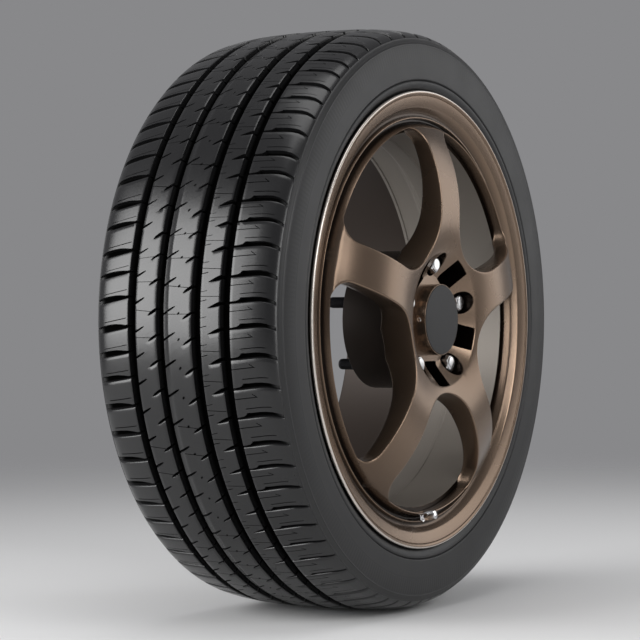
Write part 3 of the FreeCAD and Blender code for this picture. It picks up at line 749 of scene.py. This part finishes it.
# %% The spoke as a sheet
relief_half, relief_inner, relief_y = 13.0, 45.0, -36.0
relief_turn = share - math.degrees(math.asin(relief_half / dish_r))
front_round, back_round = 1.3, 1.0
front_rows, back_rows = 17, 8
straight_from, straight_to, rim_turn = 106.0, 188.0, 10.0  # mm, mm and degrees
pocket_steps, hub_steps, corner_steps = 5, 9, 11


def spine(inner_r, outer_r):
    """The line opposite the window's edge: round the hub, out along the spoke's middle, round the rim."""
    return np.vstack([
        arc(inner_r, share, relief_turn, pocket_steps),
        arc(inner_r, relief_turn, 0, hub_steps),
        line((inner_r, 0), (straight_from, 0), bend_steps - pocket_steps - hub_steps),
        line((straight_from, 0), (straight_to, 0), side_steps),
        line((straight_to, 0), (outer_r, 0), bend_steps - corner_steps),
        arc(outer_r, 0, rim_turn, corner_steps),
        arc(outer_r, rim_turn, share, rim_steps), [outer_r * window_line],
    ])


def raised(points, height):
    """Flat points with their place along the axle added, as one row of a sheet."""
    return np.dstack([points[None, :, 0], points[None, :, 1], np.broadcast_to(height, (1, len(points)))])


front_edge, back_edge = edge + front_round * into_metal, edge + back_round * into_metal
top, bottom = front(front_edge), back(back_edge)
layers = []
for w in np.linspace(0, 1, front_rows):
    flat = spine(dish_r, groove_r) * (1 - w) + front_edge * w
    layers.append(raised(flat, front(flat)))
for turn in np.radians([22, 45, 68, 90]):
    flat = edge + front_round * (1 - math.sin(turn)) * into_metal
    layers.append(raised(flat, top + front_round * (1 - math.cos(turn))))
shown = len(layers)
for w in (0.25, 0.5, 0.75, 1.0):
    layers.append(raised(edge, (top + front_round) * (1 - w) + (bottom - back_round) * w))
for turn in np.radians([30, 60, 90]):
    flat = edge + back_round * (1 - math.cos(turn)) * into_metal
    layers.append(raised(flat, bottom - back_round * (1 - math.sin(turn))))
for w in np.linspace(0, 1, back_rows + 1)[1:]:
    flat = spine(pad_r, barrel_r) * w + back_edge * (1 - w)
    layers.append(raised(flat, back(flat)))
spoke_sheet = np.vstack(layers)
print("spoke sheet: rows, columns", spoke_sheet.shape[:2])

# %% [markdown]
# ## Pockets in the hub
# Round the centre cap the hub has five deep round pockets for the bolts, and between them five square ones
# that save weight. Each pocket is a sheet too: from its floor up its wall, and for the bolts' pockets out
# over the dished hub as far as the square pockets.

# %% Pockets in the hub
lug_at, lug_r, lug_floor = 60.0, 12.5, -34.0
lug_hole_r, lug_hole_y, crisp = 7.5, -25.3, 0.1  # crisp: the step that keeps an edge sharp
wall_steps, end_steps, gap_steps = 7, 5, 2
side_start = math.sqrt(dish_r**2 - relief_half**2)
relief_corner = relief_inner * window_line + relief_half * to_spoke
relief_side = line(side_start * window_line + relief_half * to_spoke, relief_corner, wall_steps)
relief_end = line(relief_corner, relief_inner * window_line, end_steps)
surround = np.vstack([
    arc(dish_r, 0, relief_turn, hub_steps), relief_side, relief_end,
    line(relief_inner * window_line, ring_r * window_line, gap_steps),
    arc(ring_r, share, relief_turn, pocket_steps), arc(ring_r, relief_turn, 0, hub_steps),
    [(ring_r, 0)],
])
# the degrees round the bolt where each stretch of that line begins, and where the last one ends
stretches = np.cumsum([0, hub_steps, wall_steps, end_steps, gap_steps, pocket_steps + hub_steps])
lug_turn = np.radians(np.interp(np.arange(len(surround)), stretches, [0, 80, 130, 150, 157, 180]))
lug_way = np.column_stack([np.cos(lug_turn), np.sin(lug_turn)])
lug_middle = np.array([lug_at, 0])
lug_edge = lug_middle + lug_r * lug_way
layers = []
lug_rows = (
    (0, lug_hole_y), (lug_hole_r, lug_hole_y), (lug_hole_r, lug_hole_y - crisp),
    (lug_r - crisp, lug_floor + crisp),
)
for radius, height in lug_rows:
    layers.append(raised(lug_middle + radius * lug_way, height))
for w in (0.0, 0.35, 0.7, 0.97):
    layers.append(raised(lug_edge, lug_floor * (1 - w) + front(lug_edge) * w))
pocket_rows = len(layers)
for w in np.linspace(0, 1, 9):
    flat = (lug_edge + crisp / 2 * lug_way) * (1 - w) + surround * w
    layers.append(raised(flat, front(flat)))
hub_sheet = np.vstack(layers)
relief_edge = np.vstack([
    arc(dish_r, share, relief_turn, pocket_steps), relief_side, relief_end,
    [relief_inner * window_line],
])
relief_middle = np.linspace(dish_r, relief_inner, len(relief_edge))[:, None] * window_line
layers = [
    raised(relief_edge, front(relief_edge) * (1 - w) + relief_y * w) for w in (0.0, 0.03, 0.35, 0.7, 1.0)
]
layers += [raised(relief_edge * (1 - w) + relief_middle * w, relief_y) for w in (0.5, 1.0)]
relief_sheet = np.vstack(layers)
print("hub sheet", hub_sheet.shape[:2], "and square pocket", relief_sheet.shape[:2])

# %% [markdown]
# ## Rim, barrel and bore
# The rest of the wheel is turned on a lathe: the stepped lip that shows outside the spokes, the bed under
# the tyre with its deep middle, the barrel behind the spokes and the bore. Each is a short list of corners
# with their rounds. They are turned at the very angles of the sheets, so that the edges meet point to
# point.

# %% Rim, barrel and bore
lip_line = rounded([
    (groove_y, groove_r, 0), (groove_y, 217.2, 0.5), (-57.9, 218.7, 0.35), (-57.9, 219.7, 0.35),
    (-54.3, 221.4, 1.2), (-54.3, 225.2, 2.5), (-61.6, 230.6, 1.6), (-64.9, 242.5, 0.3),
    (-64.2, 243.0, 0.15), (-65.3, 243.5, 0.3), (-66.2, 245.4, 0.8), (-66.2, 248.3, 1.9),
    (-63.4, 248.3, 0.8), (-54.6, 240.3, 1.0), (-54.6, 231, 0),
])
bed_line = rounded([
    (-54.6, 231, 0), (-33.6, 231, 3), (-21.6, 210, 4), (28.4, 210, 4), (38.4, 222, 4), (117.6, 222, 3),
    (127.6, 231, 3), (148.6, 231, 1.0), (148.6, 240.3, 1.0), (157.2, 248.3, 0.8), (160.2, 248.3, 1.9),
    (160.2, 216, 2.0), (70, 216, 0),
])
barrel_line = rounded([
    (70, 216, 0), (69.4, 215.0, 0.2), (66.0, 215.0, 0.2), (65.4, 216, 0.2), (38.4, 216, 4),
    (28.4, barrel_r, 4), (8.6, barrel_r, 0.2), (8.0, 203.2, 0.2), (4.0, 203.2, 0.2), (3.4, barrel_r, 0.2),
    (back_y, barrel_r, 0),
])
bore_line = rounded([
    (ring_y, ring_r, 0), (-45, ring_r, 0), (-45, 36.3, 0), (0, 36.3, 0.6), (0, pad_r, 0.8),
    (back_y, pad_r, 0),
])
first_spoke = 18.0
spoke_turns = first_spoke + 2 * share * np.arange(spokes)


def ring_angles(steps):
    """The angles at which the sheets meet a ring, for every half share round the axle."""
    part = [np.linspace(start, stop, number, endpoint=False) for start, stop, number in steps]
    part = np.append(np.concatenate(part), steps[-1][1])
    every = (spoke_turns[:, None, None] + np.array([-1, 1])[:, None] * part) % 360
    return np.radians(np.unique(np.round(every, 9)))[None, :]


def all_round(sheet):
    """A sheet over half a spoke's share, mirrored over the spoke's middle, then turned to every spoke."""
    both = np.stack([sheet, sheet * np.array([1, -1, 1])])
    turn = np.radians(spoke_turns)[:, None, None, None]
    a, b, y = both[None, ..., 0], both[None, ..., 1], both[None, ..., 2]
    x, z = a * np.cos(turn) - b * np.sin(turn), a * np.sin(turn) + b * np.cos(turn)
    return list(np.stack([x, np.broadcast_to(y, x.shape), z], axis=-1).reshape((-1,) + sheet.shape))


rim_angles = ring_angles([(0, rim_turn, corner_steps), (rim_turn, share, rim_steps)])
hub_angles = ring_angles([(0, relief_turn, hub_steps), (relief_turn, share, pocket_steps)])
print(rim_angles.size, "points round the rim,", hub_angles.size, "round the hub")

# %% [markdown]
# ## The valve's seat and hole
# The valve stands in the groove between two spokes, tilted towards the axle. Its nut sits on a small flat
# seat, and its stem goes through a hole. A boolean would cut both, but the wheel's points near the valve's
# axis can simply sink to the seat, and the nearest ones into the hole, where the nut hides how they got
# there.

# %% The valve's seat and hole
valve_tilt = math.radians(12)
valve_base = np.array([0.0, groove_y, -groove_r])
valve_way = np.array([0.0, -math.cos(valve_tilt), math.sin(valve_tilt)])
seat_r, hole_r, hole_depth, seat_reach = 6.1, 3.6, 8.0, 12.0


def drilled(points):
    """Points that sink straight along the valve's axis: near it to the seat, nearer to the hole's end."""
    along = (points - valve_base) @ valve_way
    off = np.linalg.norm(points - valve_base - along[..., None] * valve_way, axis=-1)
    near = np.abs(along) < seat_reach
    sink = np.where(near & (off < seat_r), np.clip(along, 0, None), 0.0)
    sink = np.where(near & (off < hole_r), along + hole_depth, sink)
    return points - sink[..., None] * valve_way


print("valve at", valve_base, "mm, seat", 2 * seat_r, "mm wide")

# %% [markdown]
# ## The whole wheel
# Now the sheets and turned parts become one piece. Recesses are given their painted shade here: the
# groove, the lip's hollow, the windows' walls and the pockets, and a faint one that darkens the spokes
# towards their outer ends.

# %% The whole wheel
# how dark the painted shade is on the windows' walls, in the pockets, groove and hollow, and on the spokes
wall_dark, wall_darker, wall_darkest = 0.2, 0.12, 0.9
pocket_dark, relief_dark, groove_dark, hollow_dark, spoke_dark = 0.95, 0.97, 0.97, 0.85, 0.45
# where each shade begins and where it is full: radii, and one pair of places along the axle
spoke_ramp, spoke_stop = (150.0, 205.0), 212.0
groove_start, groove_ramp, groove_deep = 206.0, (218.6, 217.4), (-62.5, -57.5)
hollow_inside, hollow_outside = (219.6, 220.4), (229.5, 222.5)
outside_y, edge_from_r, edge_from_y = -52.0, 246.6, -62.0
bronze_coat, barrel, shade_coated, bright = range(4)


def shade_on(points):
    """Painted shade: dark in the groove and the lip's hollow, a little darker towards the spoke's outer
    end.
    """
    radius, y = np.hypot(points[..., 0], points[..., 2]), points[..., 1]
    face = spoke_dark * ramp(radius, *spoke_ramp) * (radius < spoke_stop)
    groove = ramp(y, *groove_deep) * ramp(radius, *groove_ramp) * (radius > groove_start)
    hollow = ramp(radius, *hollow_outside) * ramp(radius, *hollow_inside)
    darkest = np.maximum(face, np.maximum(groove_dark * groove, hollow_dark * hollow))
    return np.where(y < outside_y, darkest, 0.0)


layer = np.arange(len(spoke_sheet))[:, None]
wall_shade = np.clip(wall_dark + wall_darker * (layer - shown), wall_dark, wall_darkest)
pocket_shade = np.where(np.arange(len(hub_sheet)) < pocket_rows, pocket_dark, 0.0)[:, None]
relief_shade = np.where(np.arange(len(relief_sheet)) < 1, 0.0, relief_dark)[:, None]
edge_shade = np.where(layer < shown, 0.0, wall_shade)
on_face = layer < front_rows - 1
shaded = [(sheet, np.where(on_face, shade_on(sheet), edge_shade)) for sheet in all_round(spoke_sheet)]
shaded += [(sheet, pocket_shade) for sheet in all_round(hub_sheet)]
shaded += [(sheet, relief_shade) for sheet in all_round(relief_sheet)]
wheel_grids = [grid(drilled(sheet), shade, False, False) for sheet, shade in shaded]
turned_parts = (
    # the bed and the bore take the dark coat of painted shade
    (lip_line, rim_angles, bronze_coat), (bed_line, rim_angles, shade_coated),
    (barrel_line, rim_angles, barrel), (bore_line, hub_angles, shade_coated),
)
for profile, angles, coat in turned_parts:
    sheet = turned(profile[:, :1], profile[:, 1:], angles)
    halfway = (profile[1:] + profile[:-1]) / 2
    on_edge = (halfway[:, 1] > edge_from_r) & (halfway[:, 0] < edge_from_y)
    coat_rows = np.where(on_edge, bright, coat)
    wheel_grids.append(grid(drilled(sheet), shade_on(sheet), False, True, coat_rows))
wheel_coats = [bronze, barrel_coat, painted_shade_coat, edge_coat]
piece("alloy_wheel", "wheel", wheel_grids, wheel_coats, sharp=40)

# %% [markdown]
# ## Lug bolts
# Each bolt is forged with a hexagon head, a cone under it that centres the wheel, and a rolled thread. A
# turned shape needs only a profile, and the hexagon comes from trimming the head's radius by the distance
# to a flat. The thread is drawn as rings, which look the same as its helix at this size.

# %% Lug bolts
def hexagon(flats, angles):
    """Distance to a hexagon's side: half its width over the cosine of the angle from a flat's middle."""
    return flats / 2 / np.cos((angles + np.pi / 6) % (np.pi / 3) - np.pi / 6)


def about(axis_point, axis, rows, angles, flats=0.0):
    """A turned shape on any axis. Rows: place along it, radius, and 1 where the hexagon trims it."""
    rows = np.array(rows, float)
    axis = np.array(axis, float) / np.linalg.norm(axis)
    side = np.cross(axis, (0.0, 0.0, 1.0))
    side /= np.linalg.norm(side)
    up = np.cross(side, axis)
    radius = np.broadcast_to(rows[:, 1:2], (len(rows), angles.size))
    if flats:
        trimmed = np.minimum(radius, hexagon(flats, angles)[None, :])
        radius = np.where(rows[:, 2:3] > 0, trimmed, radius)
    ring = np.cos(angles)[:, None] * side + np.sin(angles)[:, None] * up
    return np.array(axis_point) + rows[:, :1, None] * axis + radius[..., None] * ring[None]


def closed(points, coats=0):
    """A turned shape's grid: closed round its axis, and from last row to first unless both are poles."""
    ring = np.ptp(points[0], axis=0).max() > weld
    return grid(points, close_rows=ring, coats=coats)


def threaded(start, stop, step, root, crest):
    """Rows of a thread: places a step apart whose radius goes from crest to root and back."""
    at = np.arange(start, stop, step)
    return np.column_stack([at, np.where(np.arange(len(at)) % 2, root, crest), 0 * at])


axle, centre = (0, 1, 0), (0, 0, 0)
full = np.linspace(0, 2 * np.pi, 72, endpoint=False)
bolt_rows = np.vstack([
    [(-75.5, 0, 0), (-75.5, 5.6, 0), (-75.4, 6.7, 0), (-75.0, 7.5, 0), (-74.2, 8.0, 0), (-73.9, 8.05, 0),
     (-73.8, 8.6, 1), (-73.0, 9.3, 1), (-72.4, 9.82, 1), (-60, 9.82, 1), (-38.5, 9.82, 1),
     (-36.6, 9.82, 1), (-36.5, 11.2, 0), (-36.2, 11.5, 0), (-33.2, 11.5, 0), (-32.9, 11.3, 0),
     (-23.4, 6.0, 0), (-9.0, 6.0, 0)],
    threaded(-8.0, 23.0, 0.75, 5.55, 6.0), [(24.0, 5.6, 0), (25.0, 4.8, 0), (25.0, 0, 0)],
])
bolt_hex, plated_to = 17.0, -33.0
bolt_coats = np.where(bolt_rows[:-1, 0] < plated_to, 0, 1)
bolt_grids = []
for turn in np.radians(spoke_turns):
    bolt_at = (lug_at * math.cos(turn), 0, lug_at * math.sin(turn))
    bolt_grids.append(closed(about(bolt_at, axle, bolt_rows, full, bolt_hex), bolt_coats))
piece("lug_bolt_set", "lug_bolts", bolt_grids, [steel, black])

# %% [markdown]
# ## Centre cap
# The cap is a turned ring with a thin raised rim, a plain grey disc set into it, and one small socket
# screw in its side. All three are profiles turned about their axes.

# %% Centre cap
wide = np.linspace(0, 2 * np.pi, 144, endpoint=False)
cap_line = rounded([
    (-79.8, 0, 0), (-79.8, 37.6, 0.15), (-81.2, 37.75, 0.12), (-81.2, 38.5, 0.4), (ring_y, 38.5, 0),
    (ring_y, 36.55, 0), (-53, 36.55, 0.5), (-53, 32.55, 0.5), (-76.3, 32.55, 1.0), (-76.3, 0, 0),
])
disc_line = rounded([(-81.8, 0, 0), (-81.8, 37.35, 0.5), (-79.9, 37.35, 0.1), (-79.9, 0, 0)])
screw_rows = [
    (36.9, 0, 0), (36.9, 1.5, 1), (38.7, 1.5, 1), (38.8, 1.7, 0), (38.6, 2.3, 0), (38.2, 2.75, 0),
    (35.3, 2.75, 0), (35.3, 0, 0),
]
screw_at, screw_way, socket = (0, -74, 0), (-1, 0, 0), 2.6
cap_grid, disc_grid = (closed(about(centre, axle, profile, wide)) for profile in (cap_line, disc_line))
screw_grid = closed(about(screw_at, screw_way, screw_rows, full[::2], socket))
piece("centre_cap_ring", "centre_cap", [cap_grid], [bronze])
piece("cap_face_disc", "cap_disc", [disc_grid], [grey])
piece("cap_side_screw", "cap_screw", [screw_grid], [steel])

# %% [markdown]
# ## Valve
# A clamp-in valve has a threaded stem, a nut that holds it to the wheel, and a dust cap with a knurl to
# grip. The dust cap rides on its own body, because it comes off. Its knurl is a wave in the radius, which
# is how a knurling wheel presses it too.

# %% Valve
stem_rows = np.vstack([
    [(18.5, 2.5, 0), (18.5, 3.7, 0), (18.2, 4.0, 0)], threaded(5.0, 18.0, 0.5, 3.75, 4.0)[::-1],
    [(4.0, 4.0, 0), (-8.5, 4.0, 0), (-8.5, 6.0, 0), (-11.5, 6.0, 0), (-11.5, 2.5, 0)],
])
nut_rows = [(0, 4.05, 0), (0, 5.0, 0), (0.5, 5.8, 1), (4.0, 5.8, 1), (4.5, 5.0, 0), (4.5, 4.05, 0)]
cap_rows = np.array([
    (20.8, 0, 0), (20.8, 3.4, 0), (20.5, 4.3, 0), (19.9, 4.75, 0), (18.6, 4.85, 0), (18.2, 5.0, 1),
    (10.2, 5.0, 1), (9.8, 4.85, 0), (8.6, 4.85, 0), (8.3, 4.6, 0), (8.3, 4.3, 0), (18.8, 4.3, 0),
    (18.8, 0, 0),
])
nut_hex, knurls, knurl_depth = 10.0, 24, 0.045
cap_points = about(valve_base, valve_way, cap_rows, wide)
centre_line = cap_points.mean(axis=1, keepdims=True)
knurl = knurl_depth * (1 + np.cos(knurls * wide)) / 2
gripped = 1 - cap_rows[:, 2][:, None, None] * knurl[None, :, None]
cap_points = centre_line + (cap_points - centre_line) * gripped
stem_grid = closed(about(valve_base, valve_way, stem_rows, full))
nut_grid = closed(about(valve_base, valve_way, nut_rows, full, nut_hex))
dust_cap_grid = closed(cap_points)
piece("valve_stem_tube", "valve_stem", [stem_grid], [nickel])
piece("valve_hex_nut", "valve_nut", [nut_grid], [nickel], sharp=25)
piece("valve_dust_cap", "valve_cap", [dust_cap_grid], [nickel], body="valve_cap")

# %% [markdown]
# ## Floor
# The tyre stands on pale paper. The paper is one large square under the tyre, and it fades out some way
# off, so that no hard horizon cuts through the picture.

# %% Floor
floor_half, fade_from, fade_to = 6.0, 0.9, 3.2
floor_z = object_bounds()[0].z
floor_points = [(x * floor_half, y * floor_half, floor_z) for x, y in ((-1, -1), (1, -1), (1, 1), (-1, 1))]
floor_mesh = bpy.data.meshes.new("studio_floor")
floor_mesh.from_pydata(floor_points, [], [(0, 1, 2, 3)])
floor = put("studio_floor", floor_mesh)
# matt paper: an even pale ground with a soft shadow and no shine
paper, tree = new_material("matt_pale_paper")
spot = node(tree, "TexCoord").outputs["Object"]
away = node(tree, "VectorMath", {0: spot}, operation="LENGTH").outputs["Value"]
fade = node(tree, "MapRange", {
    "Value": away, "From Min": fade_from, "From Max": fade_to, "To Min": 1.0, "To Max": 0.0,
}, interpolation_type="SMOOTHSTEP")
paper_shader = node(tree, "BsdfPrincipled", {
    "Base Color": linear("#e2e2e2"), "Roughness": 0.9, "Alpha": fade,
})
node(tree, "OutputMaterial", {"Surface": paper_shader})
floor_mesh.materials.append(paper)
print("floor at", floor_z, "m")

# %% [markdown]
# ## Light
# The studio is an even grey all round, the same for every ray, so metal shows the ground it stands in.
# Softboxes do the rest. The one beside the tread has a grid, which keeps its light on the tyre and off the
# paper: it is what draws the bright band on the ribs. The others light the wheel's face, the flange's edge
# and the tyre's top.

# %% Light
world = bpy.data.worlds.new("studio")
bpy.context.scene.world = world
world.use_nodes = True
world.node_tree.nodes.clear()
sky = node(world.node_tree, "Background", {"Color": linear("#88888a"), "Strength": 1.0})
node(world.node_tree, "OutputWorld", {"Surface": sky})


def face(thing, place, aim):
    """Put a lamp or camera at a place, with its front, which is its own -Z, towards a point."""
    facing = (Vector(aim) - Vector(place)).to_track_quat("-Z", "Y").to_matrix().to_4x4()
    thing.matrix_world = Matrix.Translation(place) @ facing


def softbox(name, place, aim, width, height, brightness, spread=180.0):
    """A rectangular lamp: its power is brightness times area times pi, its spread the beam's width."""
    light = bpy.data.lights.new(name, "AREA")
    light.shape = "RECTANGLE"
    light.size = width
    light.size_y = height
    light.energy = brightness * width * height * math.pi
    light.spread = math.radians(spread)
    lamp = put(name, light)
    face(lamp, place, aim)
    lamp.visible_camera = False
    print(name, round(light.energy), "W")


softbox("tread_box", (-1.64, 1.20, 0.50), (-0.3, 0.05, 0.25), 1.56, 1.6, 3.0, spread=116.0)
softbox("front_box", (-0.45, -2.1, 0.9), centre, 1.1, 0.9, 5.2)
softbox("edge_strip", (-1.30, -2.2, 0.2), centre, 0.3, 1.5, 6.5)
softbox("right_box", (1.9, -1.3, 0.6), centre, 1.2, 1.4, 1.4)
softbox("top_box", (-0.3, -0.2, 2.3), centre, 1.6, 1.6, 2.2)

# %% [markdown]
# ## Camera
# The photograph was taken level with the axle, from the tread's side, with a long lens, which shows in how
# little the far rim shrinks. The angle, distance and lens here were fitted to the rim's two ellipses and
# to the tyre's outline.

# %% Camera
aim = Vector((0.0, 0.047, 0.0))
azimuth, elevation, distance = math.radians(-59.80), math.radians(0.17), 2.544
image, focal, right, down = 640.0, 2288.0, 19.5, 0.5
camera_data = bpy.data.cameras.new("camera")
camera_data.sensor_width = 36.0
camera_data.lens = focal / image * camera_data.sensor_width
camera_data.shift_x = -right / image
camera_data.shift_y = -down / image
camera_data.clip_end = 50
camera = put("camera", camera_data)
level_part = math.cos(elevation)
towards = Vector((math.sin(azimuth) * level_part, -math.cos(azimuth) * level_part, math.sin(elevation)))
face(camera, aim + distance * towards, aim)
bpy.context.scene.camera = camera
bpy.context.scene.view_settings.view_transform = "Standard"
print("camera", distance, "m away, lens", camera_data.lens, "mm")
